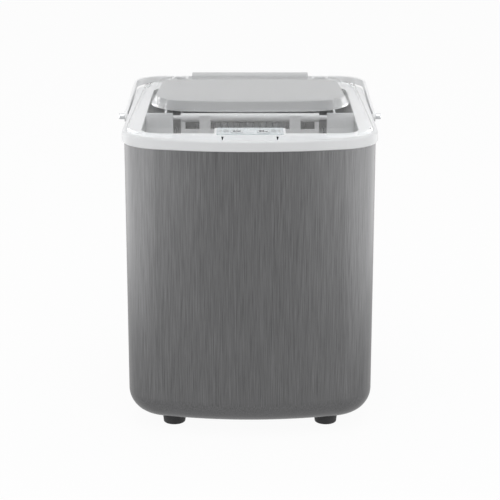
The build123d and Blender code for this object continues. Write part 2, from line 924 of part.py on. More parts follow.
# Overlay of the control strip on the tongue of the deck
with BuildPart() as control_panel:
    with BuildSketch(Plane.XY.offset(deck_z)):
        with Locations((0, strip_middle)):
            RectangleRounded(panel_strip_width, panel_strip_depth, tongue_margin)
        with Locations(*button_places.values()):
            Circle(button_radius + button_gap, mode=Mode.SUBTRACT)
        with Locations(*lens_places):
            Circle(lens_radius + running_gap, mode=Mode.SUBTRACT)
    extrude(amount=panel_strip_thickness)
save(control_panel, "control_panel")

# Buttons held under the deck by a collar, each with a stem over its switch
collar_top = deck_under - running_gap
stem_bottom = collar_top - collar_height - stem_length
switch_top = stem_bottom - button_travel - fit_gap
board_top = switch_top - switch_height

for button_name, button_place in button_places.items():
    with BuildPart() as button:
        with BuildSketch(Plane.XY.offset(collar_top - collar_height)):
            with Locations(button_place):
                Circle(button_radius)
        extrude(amount=strip_top + button_proud - collar_top + collar_height)
        fillet(button.faces().sort_by(Axis.Z)[-1].edges(), button_proud / 2)
        with BuildSketch(Plane.XY.offset(collar_top - collar_height)):
            with Locations(button_place):
                Circle(collar_radius)
        extrude(amount=collar_height)
        with BuildSketch(Plane.XY.offset(stem_bottom)):
            with Locations(button_place):
                Circle(stem_radius)
        extrude(amount=stem_length)
    save(button, button_name)

# Indicator lenses, flush with the overlay
with BuildPart() as indicator_lenses:
    with BuildSketch(Plane.XY.offset(deck_under)):
        with Locations(*lens_places):
            Circle(lens_radius)
    extrude(amount=deck_thickness + panel_strip_thickness)
save(indicator_lenses, "indicator_lenses")

# Pod under the tongue with the control board inside
pod_middle = (pod_front + pod_rear) / 2
pod_length = pod_rear - pod_front
with BuildPart() as control_housing:
    with BuildSketch(Plane.XY.offset(pod_z)):
        with Locations((0, pod_middle)):
            Rectangle(pod_width, pod_length)
    extrude(amount=pod_depth)
    with BuildSketch(Plane.XY.offset(pod_z + pod_wall)):
        with Locations((0, pod_middle)):
            Rectangle(pod_width - 2 * pod_wall, pod_length - 2 * pod_wall)
    extrude(amount=pod_depth - pod_wall, mode=Mode.SUBTRACT)
save(control_housing, "control_housing")

with BuildPart() as control_board:
    with BuildSketch(Plane.XY.offset(board_top - board_thickness)):
        with Locations((0, pod_middle)):
            Rectangle(pod_width - 2 * pod_wall - 2 * board_gap, pod_length - 2 * pod_wall - 2 * board_gap)
    extrude(amount=board_thickness)
    with BuildSketch(Plane.XY.offset(board_top)):
        with Locations(*button_places.values()):
            Rectangle(switch_size, switch_size)
    extrude(amount=switch_height)
    with BuildSketch(Plane.XY.offset(pod_z + pod_wall)):
        with Locations((0, pod_middle)):
            with GridLocations(pod_width - 2 * (pod_wall + standoff_inset), 0, 2, 1):
                Circle(standoff_radius)
    extrude(amount=board_top - board_thickness - pod_z - pod_wall)
save(control_board, "control_board")

# Ice basket: slotted box on four legs in the front of the chamber
basket_half = mouth_width / 2 - basket_side_gap
basket_bottom = liner_floor + basket_lift
basket_top = deck_z - basket_drop
basket_height = basket_top - basket_bottom
basket_middle = front + (basket_front + basket_rear) / 2
slot_height = basket_height - 2 * basket_rail
side_slots = int((basket_length - 2 * basket_corner) / basket_slot_pitch)
front_slots = int((2 * basket_half - 2 * basket_corner) / basket_slot_pitch)

with BuildPart() as ice_basket:
    with BuildSketch(Plane.XY.offset(basket_bottom)):
        with Locations((0, basket_middle)):
            RectangleRounded(2 * basket_half, basket_length, basket_corner)
    extrude(amount=basket_height)
    with BuildSketch(Plane.XY.offset(basket_bottom + basket_wall)):
        with Locations((0, basket_middle)):
            RectangleRounded(
                2 * (basket_half - basket_wall), basket_length - 2 * basket_wall, basket_corner - basket_wall
            )
    extrude(amount=basket_height - basket_wall, mode=Mode.SUBTRACT)
    with BuildSketch(Plane.XZ.offset(-front - basket_rear)):
        with Locations((0, basket_bottom + basket_height / 2)):
            with GridLocations(basket_slot_pitch, 0, front_slots, 1):
                SlotOverall(slot_height, basket_slot_width, rotation=90)
    extrude(amount=basket_length, mode=Mode.SUBTRACT)
    with BuildSketch(Plane.YZ.offset(-basket_half)):
        with Locations((basket_middle, basket_bottom + basket_height / 2)):
            with GridLocations(basket_slot_pitch, 0, side_slots, 1):
                SlotOverall(slot_height, basket_slot_width, rotation=90)
    extrude(amount=2 * basket_half, mode=Mode.SUBTRACT)
    with BuildSketch(Plane.XY.offset(basket_bottom)):
        with Locations((0, basket_middle)):
            with GridLocations(basket_slot_pitch, 0, front_slots, 1):
                SlotOverall(basket_length - 2 * basket_rail, basket_slot_width, rotation=90)
    extrude(amount=basket_wall, mode=Mode.SUBTRACT)
    with BuildSketch(Plane.XY.offset(liner_floor)):
        with Locations((0, basket_middle)):
            with GridLocations(
                2 * (basket_half - basket_corner), basket_length - 2 * basket_corner, 2, 2
            ):
                Rectangle(basket_leg, basket_leg)
    extrude(amount=basket_lift)
save(ice_basket, "ice_basket")

# Light sensors that see when the basket is full
with BuildPart() as ice_sensors:
    for side in (-1, 1):
        with BuildSketch(Plane.YZ.offset(side * mouth_width / 2)):
            with Locations((front + sensor_back, deck_under - sensor_drop)):
                RectangleRounded(sensor_width, sensor_height, sensor_height / 4)
        extrude(amount=-side * sensor_depth)
save(ice_sensors, "ice_sensors")

# Frame of the ice works: two side plates with front cheeks, a rear bridge and tabs to the liner
tray_y = front + evaporator_back
tray_z = deck_z - tray_drop
shovel_y = front + shovel_back
shovel_z = deck_z - shovel_sink
works_top = deck_z + works_top_gap
works_bottom = tray_z - works_bottom_gap
bridge_bottom = line_z + evaporator_radius + fit_gap
tab_backs = (works_front + works_tab, works_rear - 2 * works_tab)
cheek_inner = works_half - cheek_overlap
cheek_outer = mouth_width / 2 - cheek_side_gap
with BuildPart() as evaporator_frame:
    for side in (-1, 1):
        with BuildSketch(Plane.YZ.offset(side * works_half)):
            with BuildLine():
                Polyline(
                    (front + works_front, works_top),
                    (front + works_rear, works_top),
                    (front + works_rear, line_z - works_tab),
                    (tray_y + works_tab, works_bottom),
                    (tray_y - works_tab, works_bottom),
                    (front + works_front, shovel_z - works_tab),
                    close=True,
                )
            make_face()
        extrude(amount=side * works_plate)
        with BuildSketch(Plane.XY.offset(deck_under - works_tab_drop)):
            for tab_back in tab_backs:
                with Locations((side * (works_half + mouth_width / 2) / 2, front + tab_back)):
                    Rectangle(mouth_width / 2 - works_half, works_tab)
        extrude(amount=works_tab_thickness)
        with BuildSketch(Plane.XY.offset(works_top - cheek_drop)):
            with Locations((side * (cheek_inner + cheek_outer) / 2, front + works_front)):
                Rectangle(cheek_outer - cheek_inner, cheek_thickness, align=(Align.CENTER, Align.MIN))
        extrude(amount=cheek_drop)
    with BuildSketch(Plane.XY.offset(bridge_bottom)):
        with Locations((0, front + works_rear - works_plate / 2)):
            Rectangle(2 * works_half, works_plate)
    extrude(amount=works_top - bridge_bottom)
    with BuildSketch(Plane.YZ.offset(-works_half - works_plate)):
        with Locations((tray_y, tray_z)):
            Circle(tray_shaft_radius + running_gap)
        with Locations((shovel_y, shovel_z)):
            Circle(shovel_shaft_radius + running_gap)
    extrude(amount=2 * works_half + 2 * works_plate, mode=Mode.SUBTRACT)
save(evaporator_frame, "evaporator_frame")

# Evaporator: a bent tube with a row of freezing fingers
with BuildPart() as evaporator:
    with BuildLine():
        FilletPolyline(
            (-evaporator_half, front + evaporator_tail, line_z),
            (-evaporator_half, tray_y, line_z),
            (evaporator_half, tray_y, line_z),
            (evaporator_half, front + evaporator_tail, line_z),
            radius=evaporator_bend,
        )
    with BuildSketch(Plane.XZ.offset(-front - evaporator_tail)):
        with Locations((-evaporator_half, line_z)):
            Circle(evaporator_radius)
    sweep()
    with BuildSketch(Plane.XY.offset(line_z)):
        with Locations((0, tray_y)):
            with GridLocations(finger_pitch, 0, fingers, 1):
                Circle(finger_radius)
    extrude(amount=-finger_length)
    fillet(evaporator.faces().filter_by(GeomType.PLANE).group_by(Axis.Z)[0].edges(), finger_radius / 2)
save(evaporator, "evaporator")

# Grey cover over the ice works, drawn in from the raised part of the lid
cover_drop = lid_wall + cover_clearance
cover_inset = dome_inner_inset + cover_clearance
cover_inner_inset = cover_inset + cover_wall

with BuildPart() as evaporator_cover:
    add(dome_block(cover_inset, works_top, cover_drop, cover_round))
    add(dome_block(cover_inner_inset, works_top, cover_drop + cover_wall, 0), mode=Mode.SUBTRACT)
save(evaporator_cover, "evaporator_cover")

# Water tray: a trough round its own axis, with end plates and stub shafts
arc = math.radians(tray_arc)
outer_tray = tray_radius + tray_wall


def tray_point(radius, angle):
    """Point of the trough's section, the angle counted from straight down."""
    return (tray_y + radius * math.sin(angle), tray_z - radius * math.cos(angle))


with BuildPart() as water_tray:
    with BuildSketch(Plane.YZ) as trough:
        with BuildLine():
            ThreePointArc(
                tray_point(outer_tray, -arc), tray_point(outer_tray, 0), tray_point(outer_tray, arc)
            )
            Line(tray_point(outer_tray, arc), tray_point(tray_radius, arc))
            ThreePointArc(
                tray_point(tray_radius, arc), tray_point(tray_radius, 0), tray_point(tray_radius, -arc)
            )
            Line(tray_point(tray_radius, -arc), tray_point(outer_tray, -arc))
        make_face()
    extrude(amount=tray_half, both=True)
    for side in (-1, 1):
        with BuildSketch(Plane.YZ.offset(side * tray_half)):
            with BuildLine():
                ThreePointArc(
                    tray_point(outer_tray, -arc), tray_point(outer_tray, 0), tray_point(outer_tray, arc)
                )
                Polyline(tray_point(outer_tray, arc), (tray_y, tray_z), tray_point(outer_tray, -arc))
            make_face()
            with Locations((tray_y, tray_z)):
                Circle(tray_hub)
        extrude(amount=-side * tray_wall)
        with BuildSketch(Plane.YZ.offset(side * tray_half)):
            with Locations((tray_y, tray_z)):
                Circle(tray_shaft_radius)
        extrude(amount=side * (works_half - tray_half + works_plate + tray_shaft_reach))
save(water_tray, "water_tray")

# Gear motor that tilts the tray, on the right side plate
with BuildPart() as tray_motor:
    with BuildSketch(Plane.YZ.offset(works_half + works_plate)):
        with Locations((tray_y, tray_z)):
            Circle(motor_radius)
    extrude(amount=motor_length)
    fillet(tray_motor.faces().sort_by(Axis.X)[-1].edges(), tray_wall)
    with BuildSketch(Plane.YZ.offset(works_half + works_plate)):
        with Locations((tray_y, tray_z)):
            Circle(tray_shaft_radius + running_gap)
    extrude(amount=tray_shaft_reach + fit_gap, mode=Mode.SUBTRACT)
save(tray_motor, "tray_motor")

# Ice shovel: two arms with cross rails that hang from a shaft in front of the tray
with BuildPart() as ice_shovel:
    with BuildSketch(Plane.YZ):
        with Locations((shovel_y, shovel_z)):
            Circle(shovel_hub_radius)
    extrude(amount=shovel_half, both=True)
    with BuildSketch(Plane.YZ):
        with Locations((shovel_y, shovel_z)):
            Circle(shovel_shaft_radius)
    extrude(amount=works_half + works_plate, both=True)
    with BuildSketch(Plane.YZ):
        with Locations((shovel_y, shovel_z - shovel_rail_drop)):
            Rectangle(shovel_thickness, shovel_rail)
        with Locations((shovel_y, shovel_z - shovel_reach + shovel_blade / 2)):
            Rectangle(shovel_thickness, shovel_blade)
    extrude(amount=shovel_half, both=True)
    with BuildSketch(Plane.XY.offset(shovel_z - shovel_reach)):
        with Locations((0, shovel_y)):
            with GridLocations(2 * shovel_post_across, 0, 2, 1):
                Rectangle(shovel_post_width, shovel_post_thickness)
    extrude(amount=shovel_reach + shovel_post_rise)
    with BuildSketch(Plane.XY.offset(shovel_z - shovel_reach)):
        with Locations((0, shovel_y)):
            with GridLocations(2 * shovel_half - shovel_end_thickness, 0, 2, 1):
                Rectangle(shovel_end_thickness, shovel_end_thickness)
    extrude(amount=shovel_reach)
save(ice_shovel, "ice_shovel")

# Compressor: domed pot on a mounting plate, with two stubs on top
compressor_y = rear - compressor_inset
compressor_z = chassis_z + grommet_height
compressor_place = (compressor_across, compressor_y)
mount_grid = [
    (compressor_across + i * compressor_foot_half, compressor_y + j * compressor_foot_half)
    for i in (-1, 1)
    for j in (-1, 1)
]
stub_top = compressor_z + compressor_foot + compressor_height + stub_length
suction_stub = (compressor_across - stub_spacing / 2, compressor_y)
discharge_stub = (compressor_across + stub_spacing / 2, compressor_y)

with BuildPart() as compressor:
    with BuildSketch(Plane.XY.offset(compressor_z + compressor_foot)):
        with Locations(compressor_place):
            Circle(compressor_radius)
    extrude(amount=compressor_height)
    fillet(compressor.faces().sort_by(Axis.Z)[-1].edges(), compressor_round)
    with BuildSketch(Plane.XY.offset(compressor_z)):
        with Locations(compressor_place):
            RectangleRounded(
                2 * (compressor_foot_half + grommet_radius),
                2 * (compressor_foot_half + grommet_radius),
                grommet_radius,
            )
        with Locations(*mount_grid):
            Circle(compressor_bolt_radius + screw_gap, mode=Mode.SUBTRACT)
    extrude(amount=compressor_foot)
    with BuildSketch(Plane.XY.offset(stub_top - stub_length)):
        with Locations(suction_stub, discharge_stub):
            Circle(stub_radius)
    extrude(amount=stub_length)
save(compressor, "compressor")

with BuildPart() as compressor_grommets:
    with BuildSketch(Plane.XY.offset(chassis_z)):
        with Locations(*mount_grid):
            Circle(grommet_radius)
            Circle(compressor_bolt_radius + screw_gap, mode=Mode.SUBTRACT)
    extrude(amount=grommet_height)
save(compressor_grommets, "compressor_grommets")

with BuildPart() as compressor_bolts:
    with BuildSketch(Plane.XY.offset(chassis_z)):
        with Locations(*mount_grid):
            Circle(compressor_bolt_radius)
    extrude(amount=grommet_height + compressor_foot)
    with BuildSketch(Plane.XY.offset(compressor_z + compressor_foot)):
        with Locations(*mount_grid):
            RegularPolygon(compressor_bolt_head_radius, 6)
    extrude(amount=compressor_bolt_head)
save(compressor_bolts, "compressor_bolts")

# Condenser: a serpentine tube through a stack of fins between two end plates
condenser_y = body_rear - condenser_inset - condenser_depth / 2
condenser_bottom = chassis_z + condenser_lift
condenser_top = shelf_bottom - condenser_top_gap
condenser_middle = (condenser_bottom + condenser_top) / 2
condenser_height = condenser_top - condenser_bottom
coil_pitch = (condenser_height - 2 * coil_edge) / (coil_runs - 1)
coil_levels = [condenser_top - coil_edge - run * coil_pitch for run in range(coil_runs)]
coil_half = condenser_half + coil_pitch / 2
drier_x = condenser_across + coil_half + coil_outlet
drier_z = coil_levels[-1]

coil_points = [(condenser_across - coil_half - coil_inlet, condenser_y, coil_levels[0])]
for run, level in enumerate(coil_levels):
    end_side = 1 if run % 2 == 0 else -1
    if run < coil_runs - 1:
        coil_points.append((condenser_across + end_side * coil_half, condenser_y, level))
        coil_points.append((condenser_across + end_side * coil_half, condenser_y, coil_levels[run + 1]))
coil_points.append((drier_x, condenser_y, drier_z))
coil_points.append((drier_x, front + drier_front + drier_length, drier_z))

with BuildPart() as condenser_coil:
    with BuildLine():
        FilletPolyline(*coil_points, radius=coil_pitch * run_share)
    with BuildSketch(Plane(origin=coil_points[0], z_dir=(1, 0, 0))):
        Circle(coil_radius)
    sweep()
save(condenser_coil, "condenser_coil")

fin_count = int((2 * condenser_half - 2 * fin_margin) / fin_pitch) + 1
fin_first = condenser_across - (fin_count - 1) * fin_pitch / 2
with BuildPart() as condenser_fins:
    with BuildSketch(*[Plane.YZ.offset(fin_first + fin * fin_pitch) for fin in range(fin_count)]):
        with Locations((condenser_y, condenser_middle)):
            Rectangle(condenser_depth, condenser_height - 2 * bracket_plate)
        with Locations(*[(condenser_y, level) for level in coil_levels]):
            Circle(coil_radius + running_gap, mode=Mode.SUBTRACT)
    extrude(amount=fin_thickness)
save(condenser_fins, "condenser_fins")

with BuildPart() as condenser_frame:
    with BuildSketch(
        Plane.YZ.offset(condenser_across - condenser_half),
        Plane.YZ.offset(condenser_across + condenser_half - bracket_plate),
    ):
        with Locations((condenser_y, condenser_middle)):
            Rectangle(condenser_depth, condenser_height)
        with Locations(*[(condenser_y, level) for level in coil_levels]):
            Circle(coil_radius + fit_gap, mode=Mode.SUBTRACT)
    extrude(amount=bracket_plate)
    with BuildSketch(Plane.XY.offset(condenser_bottom), Plane.XY.offset(condenser_top - bracket_plate)):
        with Locations((condenser_across, condenser_y)):
            Rectangle(2 * condenser_half, condenser_depth)
    extrude(amount=bracket_plate)
save(condenser_frame, "condenser_frame")

# Fan: square shroud with a round duct, motor on two crossed struts, five-blade rotor
shroud_rear = condenser_y - condenser_depth / 2
shroud_front = shroud_rear - shroud_depth - shroud_wall
fan_place = (condenser_across, condenser_middle)
with BuildPart() as fan_shroud:
    with BuildSketch(Plane.XZ.offset(-shroud_rear)):
        with Locations(fan_place):
            Rectangle(2 * condenser_half, condenser_height)
        with Locations((condenser_across, chassis_z)):
            Rectangle(2 * condenser_half, condenser_lift + shroud_wall, align=(Align.CENTER, Align.MIN))
        with Locations(fan_place):
            Circle(duct_radius, mode=Mode.SUBTRACT)
    extrude(amount=shroud_depth)
    with BuildSketch(Plane.XZ.offset(-shroud_rear + shroud_depth)):
        with Locations(fan_place):
            Rectangle(2 * condenser_half, strut_width, rotation=45)
            Rectangle(2 * condenser_half, strut_width, rotation=-45)
            Circle(fan_motor_radius)
            Circle(fan_shaft_radius + fit_gap, mode=Mode.SUBTRACT)
    extrude(amount=shroud_wall)
save(fan_shroud, "fan_shroud")

with BuildPart() as fan_motor:
    with BuildSketch(Plane.XZ.offset(-shroud_front)):
        with Locations(fan_place):
            Circle(fan_motor_radius)
    extrude(amount=fan_motor_length)
    fillet(fan_motor.faces().sort_by(Axis.Y)[0].edges(), shroud_wall)
    with BuildSketch(Plane.XZ.offset(-shroud_front)):
        with Locations(fan_place):
            Circle(fan_shaft_radius)
    extrude(amount=-shroud_depth)
save(fan_motor, "fan_motor")

fan_y = shroud_rear - shroud_depth / 2
blade_span = fan_radius - fan_hub_radius / 2
blade_middle = (fan_radius + fan_hub_radius / 2) / 2
pitch = math.radians(fan_blade_pitch)
with BuildPart() as fan_rotor:
    for blade in range(fan_blades):
        turn = 2 * math.pi * blade / fan_blades
        outward = Vector(math.cos(turn), 0, math.sin(turn))
        chord = Vector(-math.sin(turn) * math.cos(pitch), math.sin(pitch), math.cos(turn) * math.cos(pitch))
        centre = Vector(condenser_across, fan_y, condenser_middle) + outward * blade_middle
        with BuildSketch(Plane(origin=centre, x_dir=outward, z_dir=outward.cross(chord))):
            RectangleRounded(blade_span, fan_blade_chord, fan_blade_chord / 4)
        extrude(amount=fan_blade_thickness / 2, both=True)
    with BuildSketch(Plane.XZ.offset(-fan_y)):
        with Locations(fan_place):
            Circle(fan_hub_radius)
    extrude(amount=fan_hub_length / 2, both=True)
    with BuildSketch(Plane.XZ.offset(-fan_y)):
        with Locations(fan_place):
            Circle(fan_shaft_radius + running_gap)
    extrude(amount=fan_hub_length, both=True, mode=Mode.SUBTRACT)
save(fan_rotor, "fan_rotor")

# Refrigerant lines, all just under the shelf and up behind the liner
riser_y = body_rear - shell_wall - line_riser_inset
run_z = shelf_bottom - line_shelf_gap
tail_y = front + evaporator_tail
riser_bend = min(line_bend, riser_y - liner_rear)


def pipe(points, radius, bend):
    """Round tube along straight runs joined by arcs."""
    runs = [Vector(*end) - Vector(*start) for start, end in zip(points, points[1:])]
    heading = runs[0]
    bends = []
    for before, after in zip(runs, runs[1:]):
        half_turn = math.radians(before.get_angle(after)) / 2
        room = run_share * min(before.length, after.length) / math.tan(half_turn)
        bends.append(min(bend, room))
    with BuildPart() as tube:
        with BuildLine():
            FilletPolyline(*points, radius=bends)
        with BuildSketch(Plane(origin=points[0], z_dir=heading)):
            Circle(radius)
        sweep()
    return tube


suction_line = pipe(
    [
        (-evaporator_half, tail_y, line_z),
        (-evaporator_half, riser_y, line_z),
        (-evaporator_half, riser_y, run_z),
        (suction_stub[0], suction_stub[1], run_z),
        (suction_stub[0], suction_stub[1], stub_top),
    ],
    line_radius,
    riser_bend,
)
save(suction_line, "suction_line")

coil_start = coil_points[0]
discharge_tube = pipe(
    [
        (discharge_stub[0], discharge_stub[1], stub_top),
        (discharge_stub[0], discharge_stub[1], run_z),
        (discharge_stub[0], condenser_y, run_z),
        (coil_start[0] - line_bend, condenser_y, run_z),
        (coil_start[0] - line_bend, condenser_y, coil_start[2]),
        coil_start,
    ],
    line_radius,
    riser_bend,
)
save(discharge_tube, "discharge_tube")

drier_rear = front + drier_front + drier_length
with BuildPart() as filter_drier:
    with BuildSketch(Plane.XZ.offset(-drier_rear)):
        with Locations((drier_x, drier_z)):
            Circle(drier_radius)
    extrude(amount=drier_length)
    fillet(filter_drier.faces().filter_by(GeomType.PLANE).edges(), drier_radius / 2)
save(filter_drier, "filter_drier")

liquid_line = pipe(
    [
        (drier_x, front + drier_front, drier_z),
        (drier_x, front + drier_front - drier_lead, drier_z),
        (drier_x, front + drier_front - drier_lead, run_z),
        (drier_x, condenser_y - condenser_depth / 2, run_z),
        (evaporator_half, riser_y, run_z),
        (evaporator_half, riser_y, line_z),
        (evaporator_half, tail_y, line_z),
    ],
    line_radius,
    riser_bend,
)
save(liquid_line, "liquid_line")

# Water pump under the shelf: neck from the reservoir, volute with an impeller, motor below
neck_top = liner_floor - liner_wall
volute_top = shelf_bottom - pump_neck_length
volute_bottom = volute_top - pump_height
pump_y = pump_place[1]
outlet_z = (volute_top + volute_bottom) / 2
outlet_end = pump_y + pump_radius + outlet_length
with BuildPart() as pump_housing:
    with BuildSketch(Plane.XY.offset(volute_bottom)):
        with Locations(pump_place):
            Circle(pump_radius)
    extrude(amount=pump_height)
    with BuildSketch(Plane.XY.offset(volute_top)):
        with Locations(pump_place):
            Circle(pump_neck_radius)
    extrude(amount=neck_top - volute_top)
    with BuildSketch(Plane.XZ.offset(-outlet_end)):
        with Locations((pump_across, outlet_z)):
            Circle(outlet_radius)
    extrude(amount=outlet_length + pump_wall)
    with BuildSketch(Plane.XY.offset(volute_bottom + pump_wall)):
        with Locations(pump_place):
            Circle(pump_radius - pump_wall)
    extrude(amount=pump_height - 2 * pump_wall, mode=Mode.SUBTRACT)
    with BuildSketch(Plane.XY.offset(volute_top - pump_wall)):
        with Locations(pump_place):
            Circle(pump_neck_radius - liner_wall)
    extrude(amount=neck_top - volute_top + pump_wall, mode=Mode.SUBTRACT)
    with BuildSketch(Plane.XZ.offset(-outlet_end)):
        with Locations((pump_across, outlet_z)):
            Circle(outlet_bore)
    extrude(amount=outlet_length + 2 * pump_wall, mode=Mode.SUBTRACT)
    with BuildSketch(Plane.XY.offset(volute_bottom)):
        with Locations(pump_place):
            Circle(impeller_shaft_radius + fit_gap)
    extrude(amount=pump_wall, mode=Mode.SUBTRACT)
save(pump_housing, "pump_housing")

impeller_z = outlet_z - impeller_height / 2
with BuildPart() as pump_impeller:
    with BuildSketch(Plane.XY.offset(impeller_z)):
        with Locations(pump_place):
            Circle(impeller_radius)
    extrude(amount=impeller_vane)
    with BuildSketch(Plane.XY.offset(impeller_z)):
        with Locations(pump_place):
            Circle(impeller_hub)
            with PolarLocations((impeller_radius + impeller_hub) / 2, impeller_vanes):
                Rectangle(impeller_radius - impeller_hub + impeller_vane, impeller_vane)
    extrude(amount=impeller_height)
    with BuildSketch(Plane.XY.offset(impeller_z)):
        with Locations(pump_place):
            Circle(impeller_shaft_radius + running_gap)
    extrude(amount=impeller_height, mode=Mode.SUBTRACT)
save(pump_impeller, "pump_impeller")

with BuildPart() as pump_motor:
    with BuildSketch(Plane.XY.offset(volute_bottom)):
        with Locations(pump_place):
            Circle(pump_motor_radius)
    extrude(amount=-pump_motor_length)
    fillet(pump_motor.faces().sort_by(Axis.Z)[0].edges(), pump_wall)
    with BuildSketch(Plane.XY.offset(volute_bottom)):
        with Locations(pump_place):
            Circle(impeller_shaft_radius)
    extrude(amount=impeller_z + impeller_height - volute_bottom)
save(pump_motor, "pump_motor")

# Hose from the pump to the space above the tray
water_hose = pipe(
    [
        (pump_across, outlet_end, outlet_z),
        (pump_across, outlet_end + hose_lead, outlet_z),
        (hose_across, outlet_end + 3 * hose_lead, run_z),
        (hose_across, riser_y, run_z),
        (hose_across, riser_y, line_z),
        (hose_across, front + hose_end, line_z),
    ],
    hose_radius,
    riser_bend,
)
save(water_hose, "water_hose")

# Drain tube from the reservoir to the floor, closed by a ribbed cap that turns
drain_bottom = floor_z - cap_height + cap_wall + running_gap
cap_inner_radius = drain_outer_radius + running_gap
cap_outer_radius = cap_inner_radius + cap_wall
with BuildPart() as drain_tube:
    with BuildSketch(Plane.XY.offset(drain_bottom)):
        with Locations(drain_place):
            Circle(drain_outer_radius)
            Circle(drain_bore_radius, mode=Mode.SUBTRACT)
    extrude(amount=neck_top - drain_bottom)
save(drain_tube, "drain_tube")

cap_bottom = drain_bottom - running_gap - cap_wall
cap_top = floor_z - fit_gap
with BuildPart() as drain_cap:
    with BuildSketch(Plane.XY.offset(cap_bottom)):
        with Locations(drain_place):
            Circle(cap_outer_radius)
            with PolarLocations(cap_outer_radius, cap_ribs):
                Circle(cap_rib_radius)
    extrude(amount=cap_top - cap_bottom)
    with BuildSketch(Plane.XY.offset(cap_bottom + cap_wall)):
        with Locations(drain_place):
            Circle(cap_inner_radius)
    extrude(amount=cap_top - cap_bottom - cap_wall, mode=Mode.SUBTRACT)
save(drain_cap, "drain_cap")

# Main circuit board standing on a foot behind the front wall
board_y = front + main_board_back
board_bottom = chassis_z + main_board_lift
board_middle = board_bottom + main_board_height / 2
with BuildPart() as main_board:
    with BuildSketch(Plane.XZ.offset(-board_y)):
        with Locations((main_board_across, board_middle)):
            Rectangle(main_board_width, main_board_height)
    extrude(amount=board_thickness)
    with BuildSketch(Plane.XZ.offset(-board_y)):
        with Locations((main_board_across, board_middle)):
            with GridLocations(main_board_width / 2, main_board_height / 3, 2, 2):
                Rectangle(relay_width, relay_height)
    extrude(amount=-relay_depth)
    with BuildSketch(Plane.XZ.offset(-board_y)):
        with Locations((main_board_across, board_middle)):
            Circle(capacitor_radius)
    extrude(amount=-capacitor_depth)
    with BuildSketch(Plane.XZ.offset(-board_y)):
        with Locations((main_board_across, chassis_z)):
            Rectangle(board_foot, main_board_lift + board_foot, align=(Align.CENTER, Align.MIN))
    extrude(amount=-board_thickness)
    with BuildSketch(Plane.XY.offset(chassis_z)):
        with Locations((main_board_across, board_y)):
            Rectangle(board_foot, board_foot, align=(Align.CENTER, Align.MIN))
    extrude(amount=board_thickness)
save(main_board, "main_board")
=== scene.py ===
"""Looks of the countertop ice maker: procedural materials, small details, studio and camera."""

import json
import math

import bmesh
import bpy
from mathutils import Matrix, Vector


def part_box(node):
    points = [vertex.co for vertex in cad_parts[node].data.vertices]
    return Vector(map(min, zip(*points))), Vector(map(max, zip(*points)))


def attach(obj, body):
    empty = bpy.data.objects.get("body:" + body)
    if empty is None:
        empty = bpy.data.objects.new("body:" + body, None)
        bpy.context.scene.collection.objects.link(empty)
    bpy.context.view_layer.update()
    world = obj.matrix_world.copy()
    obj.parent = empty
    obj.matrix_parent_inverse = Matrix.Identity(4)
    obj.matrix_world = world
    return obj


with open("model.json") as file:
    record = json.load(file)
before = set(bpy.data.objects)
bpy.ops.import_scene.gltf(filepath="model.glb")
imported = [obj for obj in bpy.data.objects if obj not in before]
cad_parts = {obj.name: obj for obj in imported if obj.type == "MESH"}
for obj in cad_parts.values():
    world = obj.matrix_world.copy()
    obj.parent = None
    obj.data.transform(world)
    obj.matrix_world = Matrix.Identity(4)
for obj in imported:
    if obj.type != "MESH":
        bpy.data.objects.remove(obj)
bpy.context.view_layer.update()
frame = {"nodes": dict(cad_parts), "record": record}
nodes = frame["nodes"]
scene = bpy.context.scene
scene.view_settings.view_transform = "Standard"

MM = 0.001

# Surface texture: depth of relief, tone clouds per metre, and the least and most of a roughness
RELIEF_DEPTH = 0.2 * MM
CLOUD_SCALE = 24.0
MOULDED_GLOSS = (0.88, 1.15)
BRUSHED_GLOSS = (0.8, 1.2)

# Clear lid: how milky its faces, side bevels and edges are, and the lean of a face at which that sets in
LID_IOR = 1.42
LID_VEIL = 0.12
LID_BEVEL_VEIL = 0.24
LID_EDGE_VEIL = 0.8
BEVEL_LEAN = (0.25, 0.6)
EDGE_LEAN = (0.35, 0.8)
LID_FLAT_RISE = 5.5 * MM
EDGE_FULL_DROP = 1.5 * MM
EDGE_NONE_DROP = 0.5 * MM
HAZE_SCALE = 40.0
HAZE_ROUGH = 0.03
HAZE_BAND = (0.55, 0.8)

# Sizes that the frame's boxes don't give
LENS_RADIUS = 1.4 * MM
SCREW_RADIUS = 3.2 * MM
FRONT_BOW = 311.2 * MM

# Prints, and dark plates of painted shade in the screw recesses: their thickness, and their outlines
# in millimetres, with half of the power sign's gap in degrees
PRINT = 0.12 * MM
RECESS_SHADE = PRINT / 2
POWER_INNER = 1.7
POWER_OUTER = 3.7
POWER_GAP = 40
POWER_STEM = (-0.7, 0.8, 0.7, 4.4)
LARGE_CUBE = (-3.6, -3.0, 1.0, 3.0)
LARGE_CUBE_LINE = 1.5
SMALL_CUBE = (1.7, -3.0, 3.8, 0.4)
BORDER_INSET = 1.2
BORDER_LINE = 0.4
DASH_NEAR = 18.4
DASH_FAR = 22.8
DASH_HALF = 0.9
TICK_ACROSS = 23.3
TICK_RISE = 1.9
TICK = [(-1.0, 1.3), (-0.3, -1.6), (0.3, -1.6), (1.0, 1.3)]
CROSS_REACH = 1.7
CROSS_HALF = 0.35

